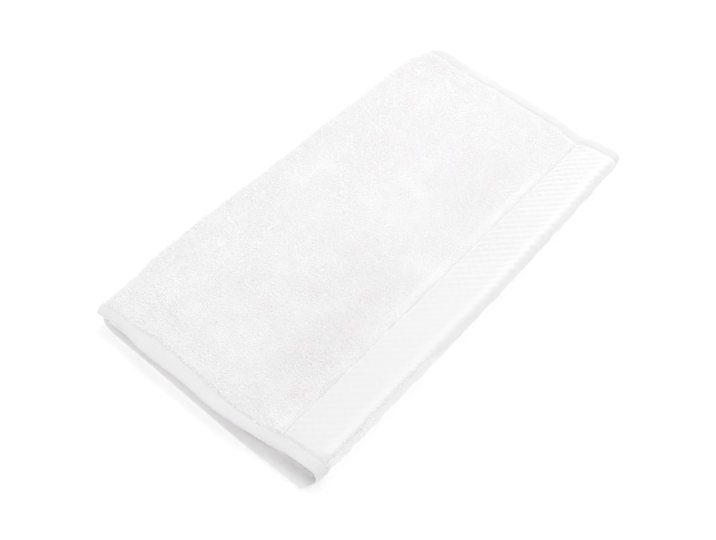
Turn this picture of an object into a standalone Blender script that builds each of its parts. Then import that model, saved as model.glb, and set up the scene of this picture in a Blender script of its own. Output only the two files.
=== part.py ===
"""Terry hand towel, folded in half and in half again into a flat bundle of four layers.

One cloth makes the whole part.  It runs, in this order: lower layer, round the right fold, top layer,
round the left fold, upper middle layer, round the inner fold, lower middle layer.  A flat grid is laid
along that path, made uneven with the short tables below, and thickened.

Frame: metres, +Z up.  X runs along the long side, from the near short side (-X) to the far one (+X).
Y runs across the bundle, from the right fold (-Y), which carries the woven band, to the left fold (+Y).
The origin is on the surface below, at the middle of the bundle.
"""
import math

import bpy

# The cloth
TOWEL_WIDTH = 0.500          # from side hem to side hem: the long side of the bundle
HALF_WIDTH = TOWEL_WIDTH / 2
CLOTH_THICK = 0.0026         # terry, pressed by the layers above it
LAYER_GAP = 0.0004           # between two layers that lie on each other
SIDE_HEM = 0.0130            # width of the smooth side hems
END_HEM = 0.0150             # width of the hems at the two hidden ends
COLOUR = (0.93, 0.93, 0.92, 1.0)
ROUGHNESS = 0.95

# The folded section, before it is made uneven
PITCH = CLOTH_THICK + LAYER_GAP      # height from one layer's middle to the next
LOWER_MIDDLE_LIFT = 1 / 3            # the middle layers follow the top one's mounds by these shares
UPPER_MIDDLE_LIFT = 2 / 3
HEM_DROP = 0.00025                   # the hems are thinner, so each layer lies this much lower there
HEM_DROP_RUN = 1.6 * SIDE_HEM        # and comes down over this distance from its edge
RIGHT_FOLD = 0.1270                  # reach of the right fold's outer face
LEFT_FOLD = 0.1215                   # reach of the left fold's outer face
RIGHT_DEPTH = 0.0068                 # how far the right fold's curve bulges out, at mid-thickness
LEFT_LOOP = 0.0010                   # the left fold stands this much fatter than two layers
LEFT_LOOP_RUN = 0.020                # and thins out to two layers over this distance
INNER_FOLD = -0.0888                 # where the two middle layers turn back, short of the right fold
LOWER_END = 0.1130                   # free end of the lower layer
MIDDLE_END = 0.1090                  # free end of the lower middle layer

# The woven band lies on the top layer, beside the right fold
BAND_START = -0.0810                 # line between the terry and the band, which ends on the fold

# The top layer is a little arched, and its mounds and hollows are placed one by one
CROWN = 0.0012
MOUNDS = (
    # x, y: centre; length, width: half-sizes; turn: degrees from X; rise: height at the centre
    dict(x=-0.115, y=-0.038, length=0.030, width=0.026, turn=10, rise=0.0006),
    dict(x=-0.184, y=-0.054, length=0.032, width=0.026, turn=10, rise=-0.0012),
    dict(x=-0.020, y=-0.048, length=0.024, width=0.024, turn=0, rise=0.0006),
    dict(x=-0.066, y=-0.062, length=0.026, width=0.016, turn=0, rise=-0.0006),
    dict(x=-0.215, y=-0.092, length=0.035, width=0.014, turn=0, rise=-0.0006),
    dict(x=-0.020, y=-0.112, length=0.200, width=0.011, turn=0, rise=0.0007),
    dict(x=0.034, y=-0.094, length=0.022, width=0.011, turn=0, rise=-0.0005),
    dict(x=-0.153, y=0.056, length=0.020, width=0.036, turn=10, rise=-0.0003),
    dict(x=-0.194, y=-0.013, length=0.030, width=0.026, turn=0, rise=0.0004),
    dict(x=0.150, y=0.074, length=0.055, width=0.020, turn=-12, rise=-0.0004),
    dict(x=0.060, y=0.020, length=0.070, width=0.050, turn=0, rise=0.0003),
    dict(x=0.228, y=-0.089, length=0.012, width=0.008, turn=0, rise=-0.0008),
    dict(x=-0.2445, y=-0.020, length=0.008, width=0.050, turn=0, rise=-0.0010),
)

# Reach of the two folds along the long side, past (+) or short of (-) their usual place, and the
# places across the bundle from which the cloth gives way to it
RIGHT_PULL_START = -0.0700
LEFT_PULL_START = 0.0600
PULL_RUN = 0.0520
SLANT_STEP = 0.0010                  # half the stretch over which a fold line's slant is measured
FOLD_LINES = (
    dict(x=-0.250, right=0.0010, left=-0.0060),
    dict(x=-0.236, right=0.0020, left=-0.0030),
    dict(x=-0.205, right=0.0026, left=-0.0022),
    dict(x=-0.172, right=0.0024, left=0.0014),
    dict(x=-0.105, right=0.0022, left=0.0018),
    dict(x=-0.037, right=0.0022, left=0.0004),
    dict(x=0.007, right=0.0026, left=-0.0002),
    dict(x=0.070, right=0.0012, left=-0.0004),
    dict(x=0.140, right=0.0004, left=-0.0016),
    dict(x=0.203, right=-0.0020, left=-0.0024),
    dict(x=0.219, right=-0.0022, left=-0.0052),
    dict(x=0.233, right=-0.0024, left=-0.0096),
    dict(x=0.244, right=-0.0038, left=-0.0160),
    dict(x=0.250, right=-0.0068, left=-0.0220),
)

# The two side hems, past (+) or short of (-) the cloth's half width, at places across the bundle,
# and how far the near hem is wider (+) or narrower (-) than its usual width
TOP_EDGES = (
    dict(y=0.120, near=0.0010, far=0.0002, widen=-0.0020),
    dict(y=0.100, near=-0.0020, far=0.0007, widen=-0.0022),
    dict(y=0.085, near=0.0000, far=0.0005, widen=-0.0015),
    dict(y=0.057, near=0.0038, far=0.0004, widen=0.0050),
    dict(y=0.016, near=0.0045, far=0.0020, widen=0.0030),
    dict(y=-0.022, near=0.0071, far=0.0020, widen=0.0010),
    dict(y=-0.055, near=0.0052, far=0.0004, widen=-0.0010),
    dict(y=-0.078, near=0.0015, far=-0.0044, widen=0.0000),
    dict(y=-0.090, near=0.0000, far=0.0010, widen=0.0010),
    dict(y=-0.118, near=-0.0006, far=0.0040, widen=0.0010),
)
LOWER_EDGES = (
    dict(y=0.113, near=-0.0060, far=-0.0060),
    dict(y=0.104, near=-0.0008, far=-0.0040),
    dict(y=0.090, near=0.0016, far=-0.0030),
    dict(y=0.049, near=0.0040, far=-0.0030),
    dict(y=-0.010, near=0.0083, far=-0.0040),
    dict(y=-0.060, near=0.0115, far=-0.0050),
    dict(y=-0.118, near=0.0125, far=-0.0040),
    dict(y=-0.127, near=0.0030, far=-0.0020),
)
MIDDLE_EDGES = (
    dict(y=0.120, near=-0.0030, far=-0.0012),
    dict(y=0.090, near=-0.0030, far=-0.0016),
    dict(y=0.000, near=0.0010, far=-0.0020),
    dict(y=-0.060, near=0.0010, far=-0.0030),
    dict(y=-0.090, near=-0.0030, far=-0.0040),
)
HEM_WAVE_REACH = 4.0                 # the terry gives way to the wavy hem over this many hem widths
BOX_MIDDLE_X = -0.0041               # middle of the finished box before it is brought to the origin
BOX_MIDDLE_Y = -0.0026

# Share of the full thickness, by distance in from a hemmed edge or from a line of the band
HEM_SHARES = (
    dict(inside=0.0, share=0.45),
    dict(inside=0.12, share=0.74),
    dict(inside=0.55, share=0.82),
    dict(inside=1.0, share=0.62),
    dict(inside=1.3, share=1.0),
)
BAND_SHARE = 0.76
GROOVE_SHARE = 0.62
LINE_SOFT = 0.0025                   # the thickness changes over this distance at a line

# Rows of points along each stretch of the path, and columns across the cloth
LOWER_ROWS = 8
TOP_ROWS = 16
MIDDLE_ROWS = 8
RIGHT_FOLD_ROWS = 8
LEFT_FOLD_ROWS = 6
INNER_FOLD_ROWS = 6
PLAIN_COLUMNS = 14
END_COLUMN = 0.0120                  # one more column this far in from each side hem


def smooth_step(t):
    """0 to 1 with flat ends."""
    t = min(max(t, 0.0), 1.0)
    return t * t * (3.0 - 2.0 * t)


def mix(start, end, share):
    """The value a share of the way from start to end."""
    return start + (end - start) * share


def straight_slope(low, high, key, column):
    """Slope of the straight line between two rows of a table."""
    return (high[column] - low[column]) / (high[key] - low[key])


def row_slope(rows, number, key, column):
    """Slope of the table's curve at a row: level at a peak or a hollow, else between its
    neighbours' slopes."""
    last = len(rows) - 1
    before = straight_slope(rows[max(number - 1, 0)], rows[max(number, 1)], key, column)
    after = straight_slope(rows[min(number, last - 1)], rows[min(number + 1, last)], key, column)
    if before * after <= 0.0:
        return 0.0
    return 2.0 * before * after / (before + after)


def read_table(table, key, column, at):
    """A table's column at a place between its rows, on a smooth curve through them."""
    rows = sorted(table, key=lambda row: row[key])
    at = min(max(at, rows[0][key]), rows[-1][key])
    number = sum(1 for row in rows[1:-1] if row[key] <= at)
    low = rows[number]
    high = rows[number + 1]
    span = high[key] - low[key]
    t = (at - low[key]) / span
    bend = row_slope(rows, number, key, column) * (1.0 - t)
    bend -= row_slope(rows, number + 1, key, column) * t
    return mix(low[column], high[column], smooth_step(t)) + span * t * (1.0 - t) * bend


def spaced(start, end, count):
    """The places of count equal steps from start to end, without the last."""
    return [start + (end - start) * step / count for step in range(count)]


def path_row(y, z, lift, side, middle):
    """One row of points: its place in the section, how far it follows the top layer's mounds
    (lift), and whose side hems it follows: the lower layer's (side 0), the top layer's (side 1)
    or the middle layers' (middle 1).  Bulge is how far a fold carries it out past that place."""
    return dict(y=y, z=z, lift=lift, side=side, middle=middle, bulge=0.0)


def fold_rows(start, end, bulge, steps):
    """The rows between two layers: half an ellipse that bulges towards +Y or -Y."""
    rows = []
    for step in range(1, steps):
        angle = math.pi * step / steps
        t = (1.0 - math.cos(angle)) / 2.0
        row = {name: mix(start[name], end[name], t) for name in start}
        row["bulge"] = bulge * math.sin(angle)
        rows.append(row)
    return rows


def hem_places(end, towards):
    """Rows of an end hem, from the free end in."""
    return [end + towards * END_HEM * row["inside"] for row in HEM_SHARES]


def folded_section():
    """All rows of the cloth's path, from the lower layer's free end to the lower middle one's."""
    low = CLOTH_THICK / 2
    lower_middle = low + PITCH
    upper_middle = low + 2 * PITCH
    top = low + 3 * PITCH
    right_start = -(RIGHT_FOLD - CLOTH_THICK / 2 - RIGHT_DEPTH)
    left_radius = (PITCH + LEFT_LOOP) / 2
    left_start = LEFT_FOLD - CLOTH_THICK / 2 - left_radius
    inner_start = INNER_FOLD + PITCH / 2

    hem = hem_places(LOWER_END, -1)
    places = hem + spaced(hem[-1], right_start, LOWER_ROWS)[1:] + [right_start]
    lower = [path_row(y, low, 0.0, 0.0, 0.0) for y in places]

    band_steps = spaced(right_start, BAND_START - LINE_SOFT, 3)
    line_steps = [BAND_START - LINE_SOFT, BAND_START, BAND_START + LINE_SOFT]
    terry_steps = spaced(BAND_START + LINE_SOFT, left_start - LEFT_LOOP_RUN, TOP_ROWS)[1:]
    loop_steps = spaced(left_start - LEFT_LOOP_RUN, left_start, 3) + [left_start]
    upper = []
    for y in band_steps + line_steps + terry_steps + loop_steps:
        loop = LEFT_LOOP * smooth_step(1.0 - (left_start - y) / LEFT_LOOP_RUN)
        upper.append(path_row(y, top + loop, 1.0, 1.0, 0.0))

    places = spaced(left_start, inner_start, MIDDLE_ROWS) + [inner_start]
    upper_mid = [path_row(y, upper_middle, UPPER_MIDDLE_LIFT, 1.0, 1.0) for y in places]
    hem = hem_places(MIDDLE_END, -1)[::-1]
    places = spaced(inner_start, hem[0], MIDDLE_ROWS) + hem
    lower_mid = [path_row(y, lower_middle, LOWER_MIDDLE_LIFT, 1.0, 1.0) for y in places]

    return (lower + fold_rows(lower[-1], upper[0], -RIGHT_DEPTH, RIGHT_FOLD_ROWS)
            + upper + fold_rows(upper[-1], upper_mid[0], left_radius, LEFT_FOLD_ROWS)
            + upper_mid + fold_rows(upper_mid[-1], lower_mid[0], -PITCH / 2, INNER_FOLD_ROWS)
            + lower_mid)


def cloth_columns():
    """Places across the cloth, from the near side hem to the far one."""
    hem = [row["inside"] * SIDE_HEM for row in HEM_SHARES]
    near = [-HALF_WIDTH + inside for inside in hem]
    near.append(near[-1] + END_COLUMN)
    plain = spaced(near[-1], -near[-1], PLAIN_COLUMNS)[1:]
    return near + plain + [-place for place in near[::-1]]


def top_lift(x, y):
    """Height of the top layer above its lowest lie."""
    lift = CROWN
    for mound in MOUNDS:
        angle = math.radians(mound["turn"])
        dx = x - mound["x"]
        dy = y - mound["y"]
        along = (dx * math.cos(angle) + dy * math.sin(angle)) / mound["length"]
        across = (dy * math.cos(angle) - dx * math.sin(angle)) / mound["width"]
        lift += mound["rise"] * math.exp(-along ** 2 - across ** 2)
    return lift


def slant_growth(column, across):
    """How much further a fold bulges across the bundle where its line runs at a slant."""
    ahead = read_table(FOLD_LINES, "x", column, across + SLANT_STEP)
    behind = read_table(FOLD_LINES, "x", column, across - SLANT_STEP)
    return math.hypot(1.0, (ahead - behind) / (2.0 * SLANT_STEP))


def cloth_point(row, across):
    """Where a point of the cloth lies: row of the section, place across the cloth."""
    fold = "left" if row["bulge"] > 0.0 else "right"
    y = row["y"] + row["bulge"] * slant_growth(fold, across)
    right_pull = smooth_step((RIGHT_PULL_START - y) / PULL_RUN)
    left_pull = smooth_step((y - LEFT_PULL_START) / PULL_RUN)
    shift_y = left_pull * row["side"] * read_table(FOLD_LINES, "x", "left", across)
    shift_y -= right_pull * read_table(FOLD_LINES, "x", "right", across)

    out = {}
    for end in ("near", "far"):
        lower = read_table(LOWER_EDGES, "y", end, y)
        top = read_table(TOP_EDGES, "y", end, y)
        middle = read_table(MIDDLE_EDGES, "y", end, y)
        out[end] = mix(mix(lower, top, row["side"]), middle, row["middle"])
    x = across + mix(-out["near"], out["far"], (across + HALF_WIDTH) / TOWEL_WIDTH)
    inside = (across + HALF_WIDTH) / SIDE_HEM
    wave = smooth_step(inside) * smooth_step((HEM_WAVE_REACH - inside) / (HEM_WAVE_REACH - 1.0))
    x += wave * row["side"] * read_table(TOP_EDGES, "y", "widen", y)

    hem = smooth_step((abs(across) - HALF_WIDTH + HEM_DROP_RUN) / SIDE_HEM)
    layers_below = (row["z"] - CLOTH_THICK / 2) / PITCH
    z = row["z"] + row["lift"] * top_lift(x, y) - hem * HEM_DROP * layers_below
    return (x - BOX_MIDDLE_X, y + shift_y - BOX_MIDDLE_Y, z)


def hem_share(inside, width):
    """Thickness share at a distance in from a hemmed edge."""
    return read_table(HEM_SHARES, "inside", "share", inside / width)


def band_share(row):
    """Thickness share on the top layer and the right fold, where the band is woven flat."""
    if row["side"] < 1.0 or row["middle"] > 0.0:
        return 1.0
    if abs(row["y"] - BAND_START) < LINE_SOFT / 2:
        return GROOVE_SHARE
    return BAND_SHARE if row["y"] < BAND_START else 1.0


def thickness_share(rows, number, across):
    """Share of the full thickness at one point."""
    row = rows[number]
    share = hem_share(HALF_WIDTH - abs(across), SIDE_HEM)
    if row["lift"] == 0.0:
        share = min(share, hem_share(LOWER_END - row["y"], END_HEM))
    if row["lift"] == LOWER_MIDDLE_LIFT:
        share = min(share, hem_share(MIDDLE_END - row["y"], END_HEM))
    return min(share, band_share(row))


def terry_material():
    """White cotton."""
    material = bpy.data.materials.new("white_terry")
    material.use_nodes = True
    shader = material.node_tree.nodes["Principled BSDF"]
    shader.inputs["Base Color"].default_value = COLOUR
    shader.inputs["Roughness"].default_value = ROUGHNESS
    shader.inputs["Metallic"].default_value = 0.0
    return material


def folded_towel(collection):
    """The towel: a flat grid laid along the folded path, then thickened."""
    rows = folded_section()
    columns = cloth_columns()
    bpy.ops.mesh.primitive_grid_add(
        x_subdivisions=len(rows) - 1, y_subdivisions=len(columns) - 1, size=2.0)
    towel = bpy.context.active_object
    towel.name = "towel"
    towel.data.name = "towel"
    for owner in list(towel.users_collection):
        owner.objects.unlink(towel)
    collection.objects.link(towel)

    thickness = towel.vertex_groups.new(name="thickness")
    for vertex in towel.data.vertices:
        number = round((vertex.co.x + 1.0) / 2.0 * (len(rows) - 1))
        column = round((vertex.co.y + 1.0) / 2.0 * (len(columns) - 1))
        across = columns[column]
        thickness.add([vertex.index], thickness_share(rows, number, across), "REPLACE")
        vertex.co = cloth_point(rows[number], across)

    shell = towel.modifiers.new("cloth", "SOLIDIFY")
    shell.thickness = CLOTH_THICK
    shell.offset = 0.0
    shell.use_even_offset = True
    shell.vertex_group = "thickness"
    towel.data.materials.append(terry_material())
    towel.data.shade_smooth()
    return towel


def main():
    for thing in list(bpy.data.objects):
        bpy.data.objects.remove(thing, do_unlink=True)
    collection = bpy.data.collections.new("hand_towel")
    bpy.context.scene.collection.children.link(collection)
    folded_towel(collection)


main()
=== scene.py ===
"""Looks of the folded terry hand towel.

One cloth runs, in this order: lower layer, round the right fold, top layer, round the left fold, upper
middle layer, round the inner fold, lower middle layer.  A point of it is given by run, the distance
along that path, and across, the place between the two side hems.  lay() turns the two into a place in
the frame.  The cloth is a fine sheet with two faces.  Its terry loops, its woven band and its stitches
are further pieces that stand on the sheet's outer face: the side that shows on top of the bundle.

Frame: metres, +Z up.  X runs along the long side, from the near short side (-X) to the far one (+X).
Y runs across the bundle, from the right fold (-Y), which carries the band, to the left fold (+Y).
"""
import math

import bpy
import numpy as np
from mathutils import Matrix, Vector

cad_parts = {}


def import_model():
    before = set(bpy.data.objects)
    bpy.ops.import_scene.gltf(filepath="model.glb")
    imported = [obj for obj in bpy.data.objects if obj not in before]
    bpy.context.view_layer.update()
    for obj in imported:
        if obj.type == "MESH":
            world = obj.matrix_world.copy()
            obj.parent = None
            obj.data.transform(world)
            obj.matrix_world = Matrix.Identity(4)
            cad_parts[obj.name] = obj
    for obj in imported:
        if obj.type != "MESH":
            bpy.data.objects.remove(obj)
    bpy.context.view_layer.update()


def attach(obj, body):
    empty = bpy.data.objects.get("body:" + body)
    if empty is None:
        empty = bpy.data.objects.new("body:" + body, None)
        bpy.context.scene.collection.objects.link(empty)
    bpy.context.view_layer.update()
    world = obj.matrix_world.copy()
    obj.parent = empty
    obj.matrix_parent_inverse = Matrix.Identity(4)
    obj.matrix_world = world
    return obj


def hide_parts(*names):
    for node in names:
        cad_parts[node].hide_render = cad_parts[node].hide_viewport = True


def table(columns, *rows):
    """Rows of numbers with named columns."""
    return [dict(zip(columns.split(), row)) for row in rows]


# The cloth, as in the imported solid
TOWEL_WIDTH = 0.500   # from side hem to side hem: the long side of the bundle
HALF_WIDTH = TOWEL_WIDTH / 2
CLOTH_THICK = 0.0026
HALF_THICK = CLOTH_THICK / 2
LAYER_GAP = 0.0004
SIDE_HEM = 0.0130
END_HEM = 0.0150

# The folded section, before it is made uneven
PITCH = CLOTH_THICK + LAYER_GAP
LOWER_MIDDLE_LIFT = 1 / 3  # share of the top layer's crown and mounds that a middle layer follows
UPPER_MIDDLE_LIFT = 2 / 3
HEM_DROP = 0.00025         # hems are thin: a layer lies this much lower there for each one below it
HEM_DROP_RUN = 1.6 * SIDE_HEM  # and it begins to sink this far from the edge
RIGHT_FOLD = 0.1270        # reach of the right fold and of the left one from the middle line
LEFT_FOLD = 0.1215
RIGHT_DEPTH = 0.0068       # how far the right fold bulges out from its layers
LEFT_LOOP = 0.0010         # the top layer rises this much on its way to the left fold
LEFT_LOOP_RUN = 0.020      # over this distance
INNER_FOLD = -0.0888       # place of the inner fold across the bundle
LOWER_END = 0.1130         # and of the cloth's two ends, in the lower and in the lower middle layer
MIDDLE_END = 0.1090

# The woven band on the top layer, beside the right fold
BAND_START = -0.0810     # line between the terry and the band
BAND_OVER_NEAR = 0.0018  # at the near end the band goes this far over the fold before terry begins
BAND_OVER_FAR = 0.0068   # and at the far end this far, because it lies at a slant
BAND_OVER_TURN = -0.085  # place along the long side where the one turns into the other
BAND_OVER_RUN = 0.050    # over this distance

# Mounds and hollows of the top layer
CROWN = 0.0012  # usual height of the top layer over its lowest lie
MOUNDS = table(
    "x y length width turn rise",
    # x, y: centre; length, width: half-sizes; turn: degrees from X; rise: height at the centre
    (-0.115, -0.038, 0.030, 0.026, 10, 0.0006),
    (-0.184, -0.054, 0.032, 0.026, 10, -0.0012),
    (-0.020, -0.048, 0.024, 0.024, 0, 0.0006),
    (-0.066, -0.062, 0.026, 0.016, 0, -0.0006),
    (-0.215, -0.092, 0.035, 0.014, 0, -0.0006),
    (-0.020, -0.112, 0.200, 0.011, 0, 0.0007),
    (0.034, -0.094, 0.022, 0.011, 0, -0.0005),
    (-0.153, 0.056, 0.020, 0.036, 10, -0.0003),
    (-0.194, -0.013, 0.030, 0.026, 0, 0.0004),
    (0.150, 0.074, 0.055, 0.020, -12, -0.0004),
    (0.060, 0.020, 0.070, 0.050, 0, 0.0003),
    (0.228, -0.089, 0.012, 0.008, 0, -0.0008),
    (-0.2445, -0.020, 0.008, 0.050, 0, -0.0010),
)

# Reach of the two folds along the long side, past (+) or short of (-) their usual place
RIGHT_PULL_START = -0.0700  # the layers begin to follow a fold's line here
LEFT_PULL_START = 0.0600
PULL_RUN = 0.0520           # and follow it wholly this much further out
SLANT_STEP = 0.0010         # to each side of a place where a line's slant is taken
FOLD_LINES = table(
    "x right left",
    (-0.250, 0.0010, -0.0060),
    (-0.236, 0.0020, -0.0030),
    (-0.205, 0.0026, -0.0022),
    (-0.172, 0.0024, 0.0014),
    (-0.105, 0.0022, 0.0018),
    (-0.037, 0.0022, 0.0004),
    (0.007, 0.0026, -0.0002),
    (0.070, 0.0012, -0.0004),
    (0.140, 0.0004, -0.0016),
    (0.203, -0.0020, -0.0024),
    (0.219, -0.0022, -0.0052),
    (0.233, -0.0024, -0.0096),
    (0.244, -0.0038, -0.0160),
    (0.250, -0.0068, -0.0220),
)

# The side hems of the top, lower and middle layers, past (+) or short of (-) the half width, and how
# far the top layer's near hem is wider (+) or narrower (-) than its usual width
TOP_EDGES = table(
    "y near far widen",
    (0.120, 0.0010, 0.0002, -0.0020),
    (0.100, -0.0020, 0.0007, -0.0022),
    (0.085, 0.0000, 0.0005, -0.0015),
    (0.057, 0.0038, 0.0004, 0.0050),
    (0.016, 0.0045, 0.0020, 0.0030),
    (-0.022, 0.0071, 0.0020, 0.0010),
    (-0.055, 0.0052, 0.0004, -0.0010),
    (-0.078, 0.0015, -0.0044, 0.0000),
    (-0.090, 0.0000, 0.0010, 0.0010),
    (-0.118, -0.0006, 0.0040, 0.0010),
)
LOWER_EDGES = table(
    "y near far",
    (0.113, -0.0060, -0.0060),
    (0.104, -0.0008, -0.0040),
    (0.090, 0.0016, -0.0030),
    (0.049, 0.0040, -0.0030),
    (-0.010, 0.0083, -0.0040),
    (-0.060, 0.0115, -0.0050),
    (-0.118, 0.0125, -0.0040),
    (-0.127, 0.0030, -0.0020),
)
MIDDLE_EDGES = table(
    "y near far",
    (0.120, -0.0030, -0.0012),
    (0.090, -0.0030, -0.0016),
    (0.000, 0.0010, -0.0020),
    (-0.060, 0.0010, -0.0030),
    (-0.090, -0.0030, -0.0040),
)
HEM_WAVE_REACH = 4.0    # hem widths from the edge at which that change of width has run out
BOX_MIDDLE_X = -0.0041  # middle of the laid bundle's box, which goes to the frame's origin
BOX_MIDDLE_Y = -0.0026

# How far each face of the sheet lies from its middle, in metres
GROUND = 0.00050       # ground cloth under standing loops
PRESSED = 0.00130      # terry whose loops are pressed flat, on hidden and lower faces
BAND_GROUND = 0.00040  # under the woven band
GROOVE = 0.00040       # line beside the band
END_GROOVE = -0.00030  # and at its other edge, on the fold
GROOVE_HALF = 0.0011   # half the width of both
FACE_BLEND = 0.0020    # one kind of face turns into the next over this distance
HEM_FACES = table(
    "inside face",
    # inside: distance from the edge in hem widths; face: from the middle of the cloth to either face
    (0.000, 0.00012),
    (0.012, 0.00050),
    (0.050, 0.00074),
    (0.120, 0.00090),
    (0.300, 0.00108),
    (0.500, 0.00114),
    (0.750, 0.00104),
    (0.880, 0.00088),
    (0.970, 0.00074),
    (1.070, 0.00066),
    (1.250, 0.00095),
)
HEM_END = 1.25     # hem widths at which the hem's shape has run out
HEM_CLOTH = 1.12   # and at which its flat cloth gives way to terry
BAND_IN_HEM = 0.5  # hem widths from the edge at which the band's weave ends in the hem
BAND_IN_HEM_RUN = 0.2

# Small reliefs of the terry and the band, on top of the solid's mounds
RIDGE_RISE = 0.00090    # the terry stands highest where it meets the band
RIDGE_PLACE = 0.0056    # from the line beside the band
RIDGE_HALF = 0.0036
RIDGE_MEAN = 0.75       # it comes and goes about this share of its rise
RIDGE_SWING = 0.5       # by this share
BLOTCH_DEPTH = 0.00014
SWELL_DEPTH = 0.00016
FLANK_DEPTH = 0.0006    # lumps on the terry of the right fold
FLANK_RISE_RUN = 0.006  # they grow over this distance up the fold
FLANK_FALL_RUN = 0.003  # and run out over this one towards the band
RUFFLE_DEPTH = 0.00105  # how far the ground sinks between loops that stand wide open
RUFFLE_NOISE = 0.16     # how much the loops open and close all over the terry
RUFFLE_BREAK = 1.1      # how much the ruffled places break up
RIDGE_PRESS = 0.9       # how much closer the loops are pressed on the ridge
SMOOTH_SHARE = 0.65     # how much lower the loops lie where they are pressed close
RUFFLES = table(
    "x y length width turn share",
    # as in MOUNDS; share: loops open (+) or close (-)
    (-0.160, -0.052, 0.036, 0.021, 6, 1.5),
    (-0.095, -0.047, 0.055, 0.015, 6, 0.75),
    (-0.100, -0.012, 0.050, 0.018, -6, 0.4),
    (-0.216, -0.036, 0.016, 0.040, 0, 0.4),
    (0.020, 0.066, 0.070, 0.012, 4, 0.2),
    (0.185, -0.052, 0.040, 0.010, 0, 0.2),
    (-0.014, -0.047, 0.012, 0.009, 0, -0.45),
    (-0.010, -0.066, 0.012, 0.016, 0, -0.3),
    (0.075, 0.010, 0.070, 0.035, 0, -0.4),
    (-0.185, -0.1200, 0.075, 0.003, 0, 0.4),
    (0.080, -0.1200, 0.160, 0.003, 0, 0.4),
    (0.010, 0.080, 0.040, 0.016, 0, -0.4),
)
DENTS = table(
    "x y length width turn depth",
    # as in MOUNDS; depth: of the outer face
    (0.2270, -0.0905, 0.0050, 0.0026, 30, 0.00090),
    (0.2400, -0.0830, 0.0040, 0.0022, 60, 0.00050),
    (-0.1290, -0.0800, 0.0065, 0.0026, 5, 0.00050),
    (-0.0540, -0.0800, 0.0090, 0.0020, 0, 0.00035),
    (-0.2372, -0.0420, 0.0026, 0.0240, 0, 0.00055),
    (-0.2378, 0.0250, 0.0024, 0.0260, 3, 0.00040),
    (0.2372, -0.0300, 0.0024, 0.0300, 0, 0.00025),
)
PUCKER_DEPTH = 0.00026
PUCKER_RUN = 0.3  # hem widths from the edge at which the hems pucker fully

# Steps of the sheet's grid
# HEM_COLUMNS: hem widths from the edge; GROOVE_ROWS: distances from the line beside the band
HEM_COLUMNS = (0.0, 0.010, 0.035, 0.080, 0.150, 0.260, 0.400, 0.550, 0.690, 0.800, 0.890, 0.950,
               1.000, 1.060, 1.140, 1.250, 1.420)
PLAIN_COLUMN = 0.0042
TOP_STEP = 0.0032
BAND_STEP = 0.0020
GROOVE_ROWS = (-0.0040, -0.0030, -0.0022, -0.0015, -0.0009, -0.0004, 0.0, 0.0004, 0.0009, 0.0015,
               0.0022, 0.0030, 0.0040)
LAYER_STEP = 0.0062
FOLD_STEPS = dict(right=20, left=12, inner=8)
DIRECTION_STEP = 0.0004  # to each side of a point where the cloth's directions are taken
INNER_UV_SHIFT = 1.2 * TOWEL_WIDTH  # from the outer face's place in the flat cloth to the inner one's

# Places of the sheet's materials in its list; the second is the hem cloth painted lighter (painted
# light) and the last is cloth painted darker along the band's lines (painted shade)
HEM_SLOT, PAINTED_LIGHTER_HEM_SLOT, TERRY_SLOT, GROOVE_PAINTED_SHADE_SLOT = range(4)

# Random patterns
PATTERNS = dict(
    # size of the bumps, seed
    pucker=(0.0075, 11),     # puckers of the hems
    clump=(0.0042, 21),      # neighbouring loops stand alike
    drift=(0.0042, 22),      # and are turned alike
    sweep=(0.0160, 23),      # and lean alike
    pile_edge=(0.008, 24),   # where they end at the hems
    ragged=(0.007, 26),      # and beside the band
    flank_ragged=(0.007, 27),
    blotch=(0.016, 31),      # small unevenness of the terry
    swell=(0.045, 32),       # and large
    ridge=(0.022, 33),       # how the ridge comes and goes
    flank=(0.010, 34),       # lumps on the right fold's terry
    open_blotch=(0.016, 35),     # how the loops open and close all over the terry
    open_swell=(0.045, 36),
    ruffle=(0.0065, 37),     # how the ruffled places break up into smaller ones
    shoulder=(0.0080, 38),   # lumps where the band goes over the fold
)
NOISE_CELLS = 512   # values along each side of a pattern's table
NOISE_SHIFT = 64.0  # where the cloth's origin lies in it
PILE_SEED = 5       # for the places and shapes of the loops

# Terry loops, each a low arch of yarn with a rounded ridge on its back
LOOP_SPACING = 0.00187
LOOP_JITTER = 0.30       # in spacings
LOOP_RISE = 0.00045      # of the yarn's middle line over the ground cloth
LOOP_WIDTH = 0.00240
LOOP_LEAN = 0.00070      # how far its top leans over
LOOP_BEND = 0.00050      # and how far it winds to its sides
LOOP_SIZE_SPREAD = 0.15  # shares by which one loop differs from another
LOOP_WIDTH_SPREAD = 0.25
LOOP_RISE_SPREAD = 0.35
LOOP_RISE_CLUMP = 0.35   # and one clump from another
LOOP_OPEN = (0.2, 1.2)   # loops in a ruffled place rise by these shares of its depth
LOOP_LEAN_SHARE = (0.2, 1.0)
LOOP_LEAN_SPREAD = 1.6   # in radians
LOOP_TURN_DRIFT = 1.2
YARN_HALF_WIDTH = 0.00050
YARN_BACK = 0.00036      # height of the yarn's back over its middle line
LOOP_SINK = 0.00012      # how deep its feet stand in the ground cloth
FOOT_SHARE = 0.45        # size of the yarn at its feet
LOOP_RINGS = 4
YARN_SIDES = 3
FLANK_PILE = 0.52        # height of the loops on the right fold against those on top
FLANK_OVERLAP = 0.0026   # there the loops stand this far over the near end of the band
EDGE_PILE = 0.45         # and beside the hems
EDGE_PILE_RUN = 0.0045
PILE_EDGE = 0.96         # the loops end this many hem widths inside the edge
PILE_EDGE_WANDER = 0.15
PILE_RAGGED = 0.0009     # how raggedly they begin beside the band
PILE_FIELD = 0.9         # hem widths from the edge as far as which loops are set out at all
TOP_PATCHES = 4
FLANK_FOOT = 0.0035      # the loops of the right fold begin this far up it

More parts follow.
